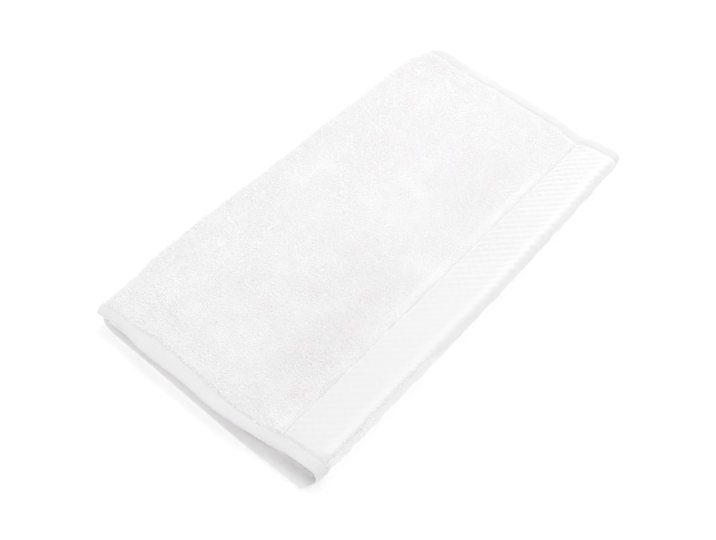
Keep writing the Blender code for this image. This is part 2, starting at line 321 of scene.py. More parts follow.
# Woven band
CHECK = 0.0048           # side of one square of its small check
CHECK_RELIEF = 0.00015
CHECK_STEEP = 2.2        # how sharply its squares are set off
CHECK_LEAD = 0.68        # share of the slanting rows that show most
CHECK_NEAR = 0.42        # the near half keeps this share of the relief
CHECK_TURN = 0.005       # and ends about here
CHECK_RUN = 0.100
BAND_END = 1.02          # hem widths from the edge at which the band's patch ends
BAND_FACE = 0.00092      # the band's face from the middle of the cloth
BAND_HEM = 0.00086       # and the hem's, where the band goes into it
BAND_HEM_SINK = 0.00030  # how deep the patch's ends go
BAND_SHOULDER = 0.0027   # the cloth stands a little higher where it comes to the fold
BAND_SHOULDER_PLACE = -0.0020  # from the start of the top layer
BAND_SHOULDER_HALF = 0.0055
SHOULDER_DEPTH = 0.0003  # soft lumps where it goes over the fold
SHOULDER_FOOT = 0.010    # they run out over this distance down the fold
SHOULDER_HEM = 0.0080    # and all of it over this one at the hems
BAND_GRID = 0.0009
BAND_RIM = 0.0006        # its rim goes down into the cloth over this distance
BAND_FADE = 0.0014       # and over this one where the terry of the fold begins
BAND_SINK = 0.0007       # how deep the rim goes

# Stitches of the side hems
STITCH_LINE = 0.925  # hem widths in from the edge
STITCH_STEP = 0.0027
STITCH_LENGTH = 0.0022
STITCH_ARCH = 0.00022
STITCH_RINGS = 5
STITCH_SIDES = 5
STITCH_TAPER = 0.45
THREAD_RADIUS = 0.00017

# Materials
COTTONS = dict(
    # two colours between which the tint drifts, roughness, bump's height, bump's strength
    white_terry=((0.968, 0.959, 0.968), (0.972, 0.966, 0.966), 0.95, 0.00012, 0.35),
    white_pressed_terry=((0.955, 0.946, 0.955), (0.96, 0.953, 0.955), 0.95, 0.0007, 0.7),
    white_hem=((0.824, 0.815, 0.827), (0.831, 0.824, 0.829), 0.9, 0.00012, 0.7),
    # the same hem cloth as white_hem, painted lighter for the lower and middle layers: painted light in
    # the shade between the layers
    white_hem_painted_lighter=((0.915, 0.906, 0.915), (0.92, 0.912, 0.915), 0.9, 0.00012, 0.7),
    # cloth along the two lines beside the band, painted greyer in blotches: painted shade of the narrow
    # crease
    white_groove_painted_shade=((0.94, 0.93, 0.925), (0.86, 0.85, 0.84), 0.9, 0.00012, 0.7),
    white_woven_band=((0.876, 0.869, 0.876), (0.880, 0.874, 0.874), 0.85, 0.00007, 0.6),
    white_thread=((0.86, 0.855, 0.86), (0.87, 0.865, 0.87), 0.7, 0.00005, 0.4),
)
SPECULAR = 0.15
SHEEN = 0.1
SHEEN_ROUGHNESS = 0.5
TINT_SIZE = 0.022     # faint changes of tint over the cloth
TINT_START = 0.35     # values of the noise at which one colour is left for the other
TINT_END = 0.65
FIBRE_SIZE = 0.00035  # fibres of the loops' yarn
PRESSED_LOOP = 0.0013
PRESSED_FIBRES = 0.3  # share of the fibres in the bump of pressed terry
HEM_YARN = 0.00075    # yarn pitch of the flat cloth
HEM_UNEVEN = 3.0      # share of its unevenness against its weave
BAND_YARN = 0.00065

# Camera: fitted to the photograph's corners
VIEW_AZIMUTH = 27.91
VIEW_ELEVATION = 48.94
VIEW_ROLL = 12.30
VIEW_DISTANCE = 1.2328
VIEW_TARGET = Vector((-0.0508, -0.0163, 0.0100))
LENS = 68.80
SENSOR = 36.0
CLIP_START = 0.01
LIGHT_BOUNCES = 12  # light that reaches the foot of white loops has bounced many times

# Light: a bright room, a key lamp at the far left, and weak low lamps before the near side and at the
# far right
WHITE = (1.0, 1.0, 1.0, 1.0)
ROOM_LIGHT = 0.776
FLOOR_COLOUR = (0.93, 0.93, 0.93, 1.0)
FLOOR_GLOW = 0.16
FLOOR_SIZE = 12.0
FLOOR_DROP = 0.0003  # below what the towel rests on
LAMPS = dict(
    # place, size, energy
    key=((1.39, 1.09, 1.01), 1.8, 26.5),
    near_fill=((-1.85, -0.45, 0.25), 1.2, 7.6),
    right_fill=((1.05, -0.75, 0.26), 1.2, 3.4),
)


# ---- small tools

def smooth_step(t):
    """0 to 1 with flat ends."""
    t = np.clip(t, 0.0, 1.0)
    return t * t * (3.0 - 2.0 * t)


def mix(start, end, share):
    """The value a share of the way from start to end."""
    return start + (end - start) * share


def change(at, place, width):
    """0 before a place and 1 after it, with a soft step of the given width."""
    return smooth_step((at - place) / width + 0.5)


def hump(at, place, half):
    """1 at a place, falling softly to 0 on both sides."""
    return np.exp(-((at - place) / half) ** 2)


def read_table(rows, key, column, at):
    """A table's column at places between its rows, on a smooth curve through them."""
    rows = sorted(rows, key=lambda row: row[key])
    places = np.array([row[key] for row in rows])
    values = np.array([row[column] for row in rows])
    straight = np.diff(values) / np.diff(places)
    before = np.concatenate((straight[:1], straight))
    after = np.concatenate((straight, straight[-1:]))
    same_way = before * after > 0.0
    total = np.where(same_way, before + after, 1.0)
    slopes = np.where(same_way, 2.0 * before * after / total, 0.0)

    at = np.clip(at, places[0], places[-1])
    low = np.clip(np.searchsorted(places, at, side="right") - 1, 0, len(places) - 2)
    span = places[low + 1] - places[low]
    t = (at - places[low]) / span
    bend = slopes[low] * (1.0 - t) - slopes[low + 1] * t
    return mix(values[low], values[low + 1], smooth_step(t)) + span * t * (1.0 - t) * bend


def soft_noise(u, v, pattern):
    """Smooth noise from -1 to 1 over two coordinates in metres."""
    size, seed = PATTERNS[pattern]
    values = np.random.default_rng(seed).uniform(-1.0, 1.0, (NOISE_CELLS, NOISE_CELLS))
    u = np.asarray(u) / size + NOISE_SHIFT
    v = np.asarray(v) / size + NOISE_SHIFT
    column = np.floor(u).astype(int)
    row = np.floor(v).astype(int)
    s = smooth_step(u - column)
    t = smooth_step(v - row)
    columns = column % NOISE_CELLS, (column + 1) % NOISE_CELLS
    rows = row % NOISE_CELLS, (row + 1) % NOISE_CELLS
    low, high = (mix(values[row, columns[0]], values[row, columns[1]], s) for row in rows)
    return mix(low, high, t)


def oval(patch, x, y):
    """A soft oval patch from a table: 1 at its centre, falling to 0 around it."""
    angle = math.radians(patch["turn"])
    dx = x - patch["x"]
    dy = y - patch["y"]
    along = (dx * math.cos(angle) + dy * math.sin(angle)) / patch["length"]
    over = (dy * math.cos(angle) - dx * math.sin(angle)) / patch["width"]
    return np.exp(-along ** 2 - over ** 2)


def unit(vectors):
    """The vectors at length one."""
    return vectors / np.linalg.norm(vectors, axis=-1, keepdims=True)


def add_object(name, data):
    """A new object of the scene."""
    made = bpy.data.objects.new(name, data)
    bpy.context.scene.collection.objects.link(made)
    return made


def new_piece(name, points, faces, material, uv=None):
    """A smooth-shaded mesh object.  uv holds one pair of coordinates for each point."""
    mesh = bpy.data.meshes.new(name)
    mesh.from_pydata(points.reshape(-1, 3).tolist(), [], faces)
    mesh.update()
    mesh.shade_smooth()
    mesh.materials.append(material)
    if uv is not None:
        corners = np.empty(len(mesh.loops), dtype=np.int32)
        mesh.loops.foreach_get("vertex_index", corners)
        layer = mesh.uv_layers.new(name="cloth")
        layer.data.foreach_set("uv", uv.reshape(-1, 2)[corners].astype(np.float32).ravel())
    return add_object(name, mesh)


def grid_faces(rows, columns):
    """Quads of a grid whose points are numbered row by row."""
    number = np.arange(rows * columns).reshape(rows, columns)
    quads = np.stack((number[:-1, :-1], number[:-1, 1:], number[1:, 1:], number[1:, :-1]), axis=-1)
    return quads.reshape(-1, 4)


# ---- the folded path

def stretch(start, end, step):
    """Places from start towards end, without the last, no further apart than step."""
    count = max(1, math.ceil(abs(end - start) / step))
    return [start + (end - start) * number / count for number in range(count)]


def path_row(y, z, lift, side, middle):
    """One row of the section: its place, the share of the top layer's mounds that it follows, and how
    far its hems are those of the upper layers (side) and of the middle ones (middle)."""
    return dict(y=y, z=z, lift=lift, side=side, middle=middle, bulge=0.0)


def fold_rows(start, end, bulge, steps):
    """The rows between two layers: half an ellipse that bulges towards +Y or -Y."""
    rows = []
    for step in range(1, steps):
        angle = math.pi * step / steps
        t = (1.0 - math.cos(angle)) / 2.0
        row = {name: mix(start[name], end[name], t) for name in start}
        row["bulge"] = bulge * math.sin(angle)
        rows.append(row)
    return rows


def top_rows(start, end):
    """The rows of the top layer, closest together at the line beside the band."""
    places = stretch(start, BAND_START - GROOVE_ROWS[-1], BAND_STEP)
    places += [BAND_START + place for place in GROOVE_ROWS[:-1]]
    places += stretch(BAND_START + GROOVE_ROWS[-1], end - LEFT_LOOP_RUN, TOP_STEP)
    places += stretch(end - LEFT_LOOP_RUN, end, BAND_STEP) + [end]
    rows = []
    for y in places:
        loop = LEFT_LOOP * float(smooth_step(1.0 - (end - y) / LEFT_LOOP_RUN))
        rows.append(path_row(y, HALF_THICK + 3 * PITCH + loop, 1.0, 1.0, 0.0))
    return rows


def folded_section():
    """The section's rows, and the numbers of the rows at which its stretches begin."""
    lower_middle = HALF_THICK + PITCH
    upper_middle = HALF_THICK + 2 * PITCH
    right_start = -(RIGHT_FOLD - HALF_THICK - RIGHT_DEPTH)
    left_radius = (PITCH + LEFT_LOOP) / 2
    left_start = LEFT_FOLD - HALF_THICK - left_radius
    inner_start = INNER_FOLD + PITCH / 2

    hem = [share * END_HEM for share in HEM_COLUMNS]
    places = [LOWER_END - inside for inside in hem]
    places += stretch(places[-1], right_start, LAYER_STEP)[1:] + [right_start]
    lower = [path_row(y, HALF_THICK, 0.0, 0.0, 0.0) for y in places]
    upper = top_rows(right_start, left_start)
    places = stretch(left_start, inner_start, LAYER_STEP) + [inner_start]
    upper_mid = [path_row(y, upper_middle, UPPER_MIDDLE_LIFT, 1.0, 1.0) for y in places]
    places = stretch(inner_start, MIDDLE_END - hem[-1], LAYER_STEP)
    places += [MIDDLE_END - inside for inside in reversed(hem)]
    lower_mid = [path_row(y, lower_middle, LOWER_MIDDLE_LIFT, 1.0, 1.0) for y in places]

    right = fold_rows(lower[-1], upper[0], -RIGHT_DEPTH, FOLD_STEPS["right"])
    left = fold_rows(upper[-1], upper_mid[0], left_radius, FOLD_STEPS["left"])
    inner = fold_rows(upper_mid[-1], lower_mid[0], -PITCH / 2, FOLD_STEPS["inner"])
    parts = (lower, right, upper, left, upper_mid, inner, lower_mid)
    names = ("lower", "right", "top", "left", "upper_mid", "inner", "lower_mid", "end")
    begins = dict(zip(names, np.cumsum([0] + [len(part) for part in parts])))
    return [row for part in parts for row in part], begins


ROWS, BEGINS = folded_section()
SECTION = {name: np.array([row[name] for row in ROWS]) for name in ROWS[0]}
STEPS = np.hypot(np.diff(SECTION["y"] + SECTION["bulge"]), np.diff(SECTION["z"]))
RUNS = np.concatenate(([0.0], np.cumsum(STEPS)))  # distance along the path at each row
PATH_LENGTH = RUNS[-1]


def run_on_top(y):
    """The run at which the top layer crosses a place across the bundle."""
    part = slice(BEGINS["top"], BEGINS["left"])
    return float(np.interp(y, SECTION["y"][part], RUNS[part]))


RUN_BAND_START = run_on_top(BAND_START)
RUN_SHOULDER = RUNS[BEGINS["top"]] + BAND_SHOULDER_PLACE
RUN_RIGHT_FOLD = RUNS[BEGINS["right"]]
RUN_LEFT_FOLD = RUNS[BEGINS["left"]]
RUN_LEFT_END = RUNS[BEGINS["upper_mid"]]


def far_part(across):
    """0 where the band ends on top of the fold, 1 where it goes on down the fold's side."""
    return change(across, BAND_OVER_TURN, BAND_OVER_RUN)


def band_end(across):
    """The run at which the band ends on the fold, which is at lower runs than the band."""
    return RUNS[BEGINS["top"]] - mix(BAND_OVER_NEAR, BAND_OVER_FAR, far_part(across))


def slant_growth(column, across):
    """How much further a fold bulges across the bundle where its line runs at a slant."""
    ahead = read_table(FOLD_LINES, "x", column, across + SLANT_STEP)
    behind = read_table(FOLD_LINES, "x", column, across - SLANT_STEP)
    return np.hypot(1.0, (ahead - behind) / (2.0 * SLANT_STEP))


def top_lift(x, y):
    """Height of the top layer above its lowest lie."""
    lift = CROWN
    for mound in MOUNDS:
        lift = lift + mound["rise"] * oval(mound, x, y)
    return lift


def lay(run, across):
    """Places in the frame of points on the middle of the cloth."""
    run, across = np.broadcast_arrays(run, across)
    row = {name: np.interp(run, RUNS, values) for name, values in SECTION.items()}
    growth = np.where(row["bulge"] > 0.0, slant_growth("left", across), slant_growth("right", across))
    y = row["y"] + row["bulge"] * growth
    right_pull = smooth_step((RIGHT_PULL_START - y) / PULL_RUN)
    left_pull = smooth_step((y - LEFT_PULL_START) / PULL_RUN)
    shift_y = left_pull * row["side"] * read_table(FOLD_LINES, "x", "left", across)
    shift_y = shift_y - right_pull * read_table(FOLD_LINES, "x", "right", across)

    out = {}
    for end in ("near", "far"):
        tables = (LOWER_EDGES, TOP_EDGES, MIDDLE_EDGES)
        lower, top, middle = (read_table(rows, "y", end, y) for rows in tables)
        out[end] = mix(mix(lower, top, row["side"]), middle, row["middle"])
    x = across + mix(-out["near"], out["far"], (across + HALF_WIDTH) / TOWEL_WIDTH)
    inside = (across + HALF_WIDTH) / SIDE_HEM
    wave = smooth_step(inside) * smooth_step((HEM_WAVE_REACH - inside) / (HEM_WAVE_REACH - 1.0))
    x = x + wave * row["side"] * read_table(TOP_EDGES, "y", "widen", y)

    hem = smooth_step((np.abs(across) - HALF_WIDTH + HEM_DROP_RUN) / SIDE_HEM)
    layers_below = (row["z"] - HALF_THICK) / PITCH
    z = row["z"] + row["lift"] * top_lift(x, y) - hem * HEM_DROP * layers_below
    return np.stack((x - BOX_MIDDLE_X, y + shift_y - BOX_MIDDLE_Y, z), axis=-1)


def directions(run, across):
    """Unit vectors along the path, across the cloth and out of its outer face."""
    step = DIRECTION_STEP
    along = unit(lay(run + step, across) - lay(run - step, across))
    sideways = unit(lay(run, across + step) - lay(run, across - step))
    return along, sideways, unit(np.cross(sideways, along))


def off_middle(run, across, distance):
    """Places at a distance from the middle of the cloth, towards its outer side."""
    _, _, out = directions(run, across)
    return lay(run, across) + out * distance[..., None]


# ---- the cloth's faces

def hem_place(run, across):
    """Distance in from the nearest hemmed edge, in hem widths."""
    side = (HALF_WIDTH - np.abs(across)) / SIDE_HEM
    end = np.minimum(run, PATH_LENGTH - run) / END_HEM
    return np.minimum(side, end)


def between(run, start, end):
    """1 between two runs and 0 outside them, softly."""
    return change(run, start, FACE_BLEND) * change(end, run, FACE_BLEND)


def patches(rows, run, across, column):
    """Sum of a table's soft oval patches on the top layer."""
    part = slice(BEGINS["top"], BEGINS["left"])
    y = np.interp(run, RUNS[part], SECTION["y"][part])
    total = 0.0
    for patch in rows:
        total = total + patch[column] * oval(patch, across, y)
    return total


def ridge(run, across):
    """The line of terry beside the band, from 0 to about 1, as it comes and goes."""
    strength = RIDGE_MEAN + RIDGE_SWING * soft_noise(0.0, across, "ridge")
    return strength * hump(run - RUN_BAND_START, RIDGE_PLACE, RIDGE_HALF)


def ruffle(run, across):
    """How the loops lie: from -1, pressed close, to 1, standing open with gaps between them."""
    open_loops = patches(RUFFLES, run, across, "share")
    open_loops = open_loops * (1.0 + RUFFLE_BREAK * soft_noise(run, across, "ruffle"))
    open_loops = open_loops - RIDGE_PRESS * ridge(run, across)
    blotches = soft_noise(run, across, "open_blotch") + soft_noise(run, across, "open_swell")
    return np.clip(open_loops + RUFFLE_NOISE * blotches, -1.0, 1.0)


def terry_relief(run, across):
    """Soft unevenness of the terry: a ridge beside the band, blotches, and lumps on the right fold."""
    lumps = soft_noise(run, across, "flank")
    ends = smooth_step((run - RUN_RIGHT_FOLD) / FLANK_RISE_RUN)
    ends = ends * smooth_step((band_end(across) - run) / FLANK_FALL_RUN)
    return (ridge(run, across) * RIDGE_RISE + lumps * ends * FLANK_DEPTH
            + soft_noise(run, across, "blotch") * BLOTCH_DEPTH
            + soft_noise(run, across, "swell") * SWELL_DEPTH)


def shoulder(run, across):
    """Rise of the cloth where it comes to the right fold, with soft lumps on the fold's side."""
    rise = BAND_SHOULDER * hump(run, RUN_SHOULDER, BAND_SHOULDER_HALF)
    lumps = soft_noise(run, across, "shoulder") * SHOULDER_DEPTH
    lumps = lumps * smooth_step((RUN_SHOULDER + BAND_SHOULDER_HALF - run) / BAND_SHOULDER_HALF)
    lumps = lumps * smooth_step((run - RUN_RIGHT_FOLD) / SHOULDER_FOOT)
    return (rise + lumps) * smooth_step((hem_place(run, across) - 1.0) * SIDE_HEM / SHOULDER_HEM)


def outer_plain(run, across):
    """The outer face's distance from the middle of the cloth, away from the hems."""
    standing = between(run, RUN_RIGHT_FOLD, RUN_LEFT_END)
    terry = GROUND + terry_relief(run, across) - np.maximum(ruffle(run, across), 0.0) * RUFFLE_DEPTH
    face = mix(PRESSED, terry, standing)
    face = mix(face, BAND_GROUND, between(run, band_end(across), RUN_BAND_START))
    groove = hump(run, RUN_BAND_START, GROOVE_HALF)
    end_groove = far_part(across) * hump(run, band_end(across), GROOVE_HALF)
    face = mix(face, np.minimum(face, GROOVE), groove)
    return mix(face, np.minimum(face, END_GROOVE), end_groove) + shoulder(run, across)


def faces_at(run, across):
    """Distances of the outer and of the inner face from the middle of the cloth."""
    place = hem_place(run, across)
    hem = read_table(HEM_FACES, "inside", "face", place)
    hemmed = 1.0 - smooth_step((place - 1.0) / (HEM_END - 1.0))
    in_band = between(run, band_end(across) - BAND_FADE, RUN_BAND_START)
    in_band = in_band * smooth_step((place - BAND_IN_HEM) / BAND_IN_HEM_RUN)
    pucker = soft_noise(run, across, "pucker") * PUCKER_DEPTH
    pucker = pucker * smooth_step(place / PUCKER_RUN) * hemmed
    outer = mix(hem, np.maximum(hem, BAND_HEM), in_band)
    outer = mix(outer_plain(run, across), outer, hemmed) + pucker - patches(DENTS, run, across, "depth")
    inner = mix(PRESSED, hem, hemmed) - pucker
    return outer, inner


def on_outer(run, across, height=0.0):
    """Places a height above the cloth's outer face."""
    outer, _ = faces_at(run, across)
    return off_middle(run, across, outer + height)


def cloth_columns():
    """Places across the cloth, from the near side hem to the far one."""
    near = [-HALF_WIDTH + share * SIDE_HEM for share in HEM_COLUMNS]
    plain = stretch(near[-1], -near[-1], PLAIN_COLUMN)[1:]
    return np.array(near + plain + [-place for place in reversed(near)])


def sheet_faces(rows, columns):
    """Faces of the closed sheet: its outer side, its inner side and the rim between them."""
    count = rows * columns
    outer_faces = grid_faces(rows, columns)
    inner_faces = outer_faces[:, ::-1] + count
    number = np.arange(count).reshape(rows, columns)
    border = np.concatenate((number[0, :-1], number[:-1, -1], number[-1, :0:-1], number[:0:-1, 0]))
    after = np.roll(border, -1)
    rim = np.stack((border, border + count, after + count, after), axis=-1)
    return np.concatenate((outer_faces, inner_faces, rim)).tolist()


def sheet_slots(run, across, count):
    """Which of the sheet's materials each of its faces has; run and across are the grid's."""
    run = (run[:-1, :-1] + run[1:, 1:]) / 2.0
    across = (across[:-1, :-1] + across[1:, 1:]) / 2.0
    # the top layer's hems get the hem cloth; those of the lower and middle layers, the inner face and
    # the rim get it painted lighter, as painted light in their shade
    hem = np.where((run > RUN_RIGHT_FOLD) & (run < RUN_LEFT_END), HEM_SLOT, PAINTED_LIGHTER_HEM_SLOT)
    terry = hem_place(run, across) > HEM_CLOTH
    # faces along both lines beside the band get the cloth painted darker: painted shade of their crease
    from_line = np.minimum(np.abs(run - RUN_BAND_START), np.abs(run - band_end(across)))
    field = np.where(from_line < GROOVE_HALF, GROOVE_PAINTED_SHADE_SLOT, TERRY_SLOT)
    slots = np.full(count, PAINTED_LIGHTER_HEM_SLOT, dtype=np.int32)
    slots[:run.size] = np.where(terry, field, hem).ravel()
    slots[run.size:2 * run.size] = np.where(terry, TERRY_SLOT, PAINTED_LIGHTER_HEM_SLOT).ravel()
    return slots


def cloth_sheet(materials):
    """The whole cloth as a closed thin sheet with an outer and an inner face."""
    run, across = np.broadcast_arrays(RUNS[:, None], cloth_columns()[None, :])
    outer, inner = faces_at(run, across)
    points = np.stack((off_middle(run, across, outer), off_middle(run, across, -inner)))
    faces = sheet_faces(*run.shape)
    uv = np.stack((across, run), axis=-1)
    uv = np.stack((uv, uv + (INNER_UV_SHIFT, 0.0)))
    piece = new_piece("towel_cloth", points, faces, materials[0], uv)
    for material in materials[1:]:
        piece.data.materials.append(material)
    piece.data.polygons.foreach_set("material_index", sheet_slots(run, across, len(faces)))
    return piece


# ---- terry loops

def pile_height(run, across):
    """Height of the loops against their full height."""
    field = smooth_step((hem_place(run, across) - PILE_EDGE) * SIDE_HEM / EDGE_PILE_RUN)
    return mix(EDGE_PILE, 1.0, field) * np.where(run < RUN_BAND_START, FLANK_PILE, 1.0)


def loop_places(run_start, run_end, across_start, across_end, rng):
    """Places of loops over a stretch of cloth, in uneven staggered rows up to the hems."""
    row_gap = LOOP_SPACING * math.sqrt(3.0) / 2.0
    runs = np.arange(run_start, run_end, row_gap)
    sides = np.arange(across_start, across_end, LOOP_SPACING)
    run, across = np.meshgrid(runs, sides, indexing="ij")
    across = across + (np.arange(len(runs)) % 2)[:, None] * LOOP_SPACING / 2.0
    run = run + rng.uniform(-1, 1, run.shape) * LOOP_JITTER * LOOP_SPACING
    across = across + rng.uniform(-1, 1, run.shape) * LOOP_JITTER * LOOP_SPACING
    inside = (run < run_end) & (across > across_start) & (across < across_end)
    ragged = 1.0 + soft_noise(run, across, "ragged")
    inside = inside & (run > run_start + PILE_RAGGED * ragged)
    pile_edge = PILE_EDGE + PILE_EDGE_WANDER * soft_noise(run, across, "pile_edge")
    inside = inside & (hem_place(run, across) > pile_edge)
    return run[inside], across[inside]


def tube_faces(count, rings, sides):
    """Faces of a number of short closed tubes, whose points are numbered tube by tube, ring by ring."""
    quads = []
    for ring in range(rings - 1):
        for side in range(sides):
            here = ring * sides + side
            beside = ring * sides + (side + 1) % sides
            quads.append((here, beside, beside + sides, here + sides))
    last = (rings - 1) * sides
    caps = np.array((range(sides - 1, -1, -1), range(last, last + sides)))
    shift = (np.arange(count) * rings * sides)[:, None, None]
    quads = (np.array(quads) + shift).reshape(-1, 4).tolist()
    return quads + (caps + shift).reshape(-1, sides).tolist()


def turned(along, sideways, angle):
    """Directions in the cloth at an angle to its path."""
    return along * np.cos(angle)[:, None] + sideways * np.sin(angle)[:, None]


def loop_centres(run, across, axes, lie, pile, rng):
    """The middle line of each loop's yarn, as points from foot to foot."""
    count = len(run)
    along, sideways, out = axes
    foot = on_outer(run, across, -LOOP_SINK)
    clump = soft_noise(run, across, "clump")
    drift = soft_noise(run, across, "drift")
    sweep = soft_noise(run, across, "sweep")
    rise = 1.0 + LOOP_RISE_CLUMP * clump + rng.uniform(-LOOP_RISE_SPREAD, LOOP_RISE_SPREAD, count)
    rise = LOOP_RISE * pile * rise + LOOP_SINK
    rise = rise + np.maximum(lie, 0.0) * RUFFLE_DEPTH * rng.uniform(*LOOP_OPEN, count)
    half = LOOP_WIDTH / 2.0 * (1.0 + rng.uniform(-LOOP_WIDTH_SPREAD, LOOP_WIDTH_SPREAD, count))
    plane = turned(along, sideways, LOOP_TURN_DRIFT * drift + rng.uniform(0.0, 2.0 * math.pi, count))
    lean_turn = math.pi * sweep + rng.uniform(-LOOP_LEAN_SPREAD, LOOP_LEAN_SPREAD, count)
    lean = turned(along, sideways, lean_turn)
    lean_reach = LOOP_LEAN * rng.uniform(*LOOP_LEAN_SHARE, count)
    bend = LOOP_BEND * rng.uniform(-1.0, 1.0, count)
    beside = np.cross(out, plane)

    centres = []
    for angle in np.linspace(0.0, math.pi, LOOP_RINGS):
        arch = math.sin(angle)
        centre = foot - plane * (half * math.cos(angle))[:, None] + out * (rise * arch)[:, None]
        centre = centre + lean * (lean_reach * arch)[:, None]
        centres.append(centre + beside * (bend * math.sin(2.0 * angle))[:, None])
    return np.stack(centres, axis=1)


def yarn_around(centres, out, size, pile):
    """Rings of three points round the loops' yarn: one on its back and two below, at its sides."""
    ahead = np.concatenate((centres[:, 1:], centres[:, -1:]), axis=1)
    behind = np.concatenate((centres[:, :1], centres[:, :-1]), axis=1)
    path = unit(ahead - behind)
    back = unit(out[:, None] - path * np.sum(path * out[:, None], axis=-1, keepdims=True))
    flank = np.cross(path, back)
    taper = size[:, None] * mix(FOOT_SHARE, 1.0, np.sin(np.linspace(0.0, math.pi, LOOP_RINGS)))
    high = back * (YARN_BACK * pile[:, None] * taper)[..., None]
    wide = flank * (YARN_HALF_WIDTH * taper)[..., None]
    return np.stack((centres + high, centres + wide, centres - wide), axis=2)


def sharpen_undersides(mesh):
    """Keeps the loops' backs round and their undersides apart from them."""
    ends = np.empty(len(mesh.edges) * 2, dtype=np.int32)
    mesh.edges.foreach_get("vertices", ends)
    low = (ends.reshape(-1, 2) % YARN_SIDES > 0).all(axis=1)
    mesh.attributes.new("sharp_edge", "BOOLEAN", "EDGE").data.foreach_set("value", low)


def terry_loops(name, places, material, rng):
    """One mesh of bent yarn loops that stand on the cloth's outer face at the given places."""
    run, across = places
    axes = directions(run, across)
    size = 1.0 + rng.uniform(-LOOP_SIZE_SPREAD, LOOP_SIZE_SPREAD, len(run))
    lie = ruffle(run, across)
    pile = pile_height(run, across) * (1.0 + SMOOTH_SHARE * np.minimum(lie, 0.0))
    centres = loop_centres(run, across, axes, lie, pile, rng)
    points = yarn_around(centres, axes[2], size, pile)
    piece = new_piece(name, points, tube_faces(len(run), LOOP_RINGS, YARN_SIDES), material)
    sharpen_undersides(piece.data)
    return piece


def terry_pile(material):
    """All standing terry, in patches."""
    rng = np.random.default_rng(PILE_SEED)
    edge = HALF_WIDTH - PILE_FIELD * SIDE_HEM
    pieces = []
    top_start = RUN_BAND_START - PILE_RAGGED / 2.0
    cuts = np.linspace(-edge, edge, TOP_PATCHES + 1)
    for number, (start, end) in enumerate(zip(cuts, cuts[1:]), start=1):
        places = loop_places(top_start, RUN_LEFT_FOLD, start, end, rng)
        pieces.append(terry_loops(f"terry_top_{number}", places, material, rng))

    run, across = loop_places(RUN_RIGHT_FOLD + FLANK_FOOT, RUNS[BEGINS["top"]], -edge, edge, rng)
    gap = mix(-FLANK_OVERLAP, GROOVE_HALF / 2.0, far_part(across))
    ragged = PILE_RAGGED * soft_noise(run, across, "flank_ragged")
    below_band = run < band_end(across) - gap + ragged
    places = run[below_band], across[below_band]
    pieces.append(terry_loops("terry_right_fold", places, material, rng))

    places = loop_places(RUN_LEFT_FOLD, RUN_LEFT_END, -edge, edge, rng)
    pieces.append(terry_loops("terry_left_fold", places, material, rng))
    return pieces


# ---- woven band

def check_relief(run, across):
    """Height of the band's small raised check, which looks like slanting rows."""
    along = run - RUN_BAND_START
    rows_one_way = np.cos(math.pi * (along + across) / CHECK)
    rows_other_way = np.cos(math.pi * (along - across) / CHECK)
    check = mix(rows_other_way, rows_one_way, CHECK_LEAD)
    relief = CHECK_RELIEF * mix(CHECK_NEAR, 1.0, change(across, CHECK_TURN, CHECK_RUN))
    return relief * np.tanh(CHECK_STEEP * check)


def woven_band(material):
    """The flat woven band: a fine patch whose rim goes down into the cloth."""
    edge = HALF_WIDTH - BAND_END * SIDE_HEM
    top = RUN_BAND_START
    columns = np.arange(-edge, edge, BAND_GRID)
    count = math.ceil((top - band_end(HALF_WIDTH)) / BAND_GRID)
    shares, across = np.meshgrid(np.linspace(0.0, 1.0, count), columns, indexing="ij")
    run = mix(band_end(across) - BAND_RIM, top - BAND_RIM, shares)
    rim_rows = np.repeat([[top - BAND_RIM / 2.0], [top]], len(columns), axis=1)
    run = np.concatenate((run, rim_rows))
    across = np.concatenate((across, across[:2]))
    sink = 1.0 - smooth_step(np.minimum((top - run) / BAND_RIM, (run - run[0]) / BAND_FADE))
    from_hem = np.minimum(across - columns[0], columns[-1] - across)
    end_sink = 1.0 - smooth_step(from_hem / BAND_RIM)
    height = BAND_FACE + check_relief(run, across) + shoulder(run, across)
    height = height - patches(DENTS, run, across, "depth")
    height = height - np.maximum(sink * BAND_SINK, end_sink * BAND_HEM_SINK)
    faces = grid_faces(*run.shape).tolist()
    uv = np.stack((across, run), axis=-1)
    return new_piece("woven_band", off_middle(run, across, height), faces, material, uv)


# ---- stitches

def hem_stitches(material):
    """Lockstitches along both side hems, wherever the outer face of the cloth can be seen."""
    starts = np.arange(STITCH_STEP, RUN_LEFT_END, STITCH_STEP)
    line = HALF_WIDTH - STITCH_LINE * SIDE_HEM
    run = np.concatenate((starts, starts))
    across = np.repeat((-line, line), len(starts))
    _, sideways, out = directions(run, across)
    rings = []
    for t in np.linspace(-1.0, 1.0, STITCH_RINGS):
        centre = on_outer(run + t * STITCH_LENGTH / 2.0, across, STITCH_ARCH * (1.0 - t * t))
        thick = THREAD_RADIUS * mix(1.0, STITCH_TAPER, t * t)
        angles = 2.0 * math.pi * np.arange(STITCH_SIDES)[:, None, None] / STITCH_SIDES
        rings.append(centre + thick * (out * np.cos(angles) - sideways * np.sin(angles)))
    points = np.stack(rings).transpose(2, 0, 1, 3)
    return new_piece("hem_stitches", points, tube_faces(len(run), STITCH_RINGS, STITCH_SIDES), material)


# ---- materials

def fill(tree, node, sockets):
    """Sets a node's inputs, given by name or number, to values or links them to outputs."""
    for socket, value in sockets.items():
        if isinstance(value, bpy.types.NodeSocket):
            tree.links.new(value, node.inputs[socket])
        else:
            node.inputs[socket].default_value = value


def new_material(name, sockets):
    """A material with its shader's inputs filled, and its node tree."""
    material = bpy.data.materials.new(name)
    material.use_nodes = True
    fill(material.node_tree, material.node_tree.nodes["Principled BSDF"], sockets)
    return material, material.node_tree


